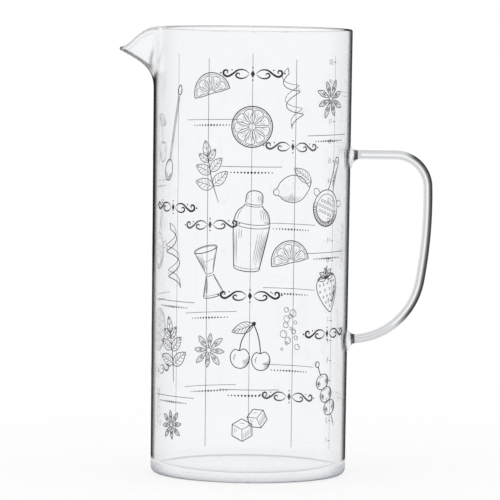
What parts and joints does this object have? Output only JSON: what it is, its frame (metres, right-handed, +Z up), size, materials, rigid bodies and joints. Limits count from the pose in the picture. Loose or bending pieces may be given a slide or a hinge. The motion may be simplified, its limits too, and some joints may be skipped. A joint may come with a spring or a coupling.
{
  "type": "glass cocktail pitcher",
  "caption": "Tall straight-sided clear glass pitcher with a pulled pouring spout and a bent glass rod handle, printed outside in fine black lines.",
  "frame": {"origin": "middle of the standing plane, on the axis of the body", "axes": "+Z up along the body, +X towards the handle, spout at -X, +Y completes a right-handed frame"},
  "size_m": [0.1761, 0.111, 0.2496],
  "materials": {
    "clear_glass": "polished clear borosilicate",
    "rod_glass": "polished clear borosilicate"
  },
  "bodies": {
    "root": {"body": "clear_glass", "handle": "rod_glass", "upper_handle_seal": "rod_glass", "lower_handle_seal": "rod_glass"}
  },
  "joints": []
}
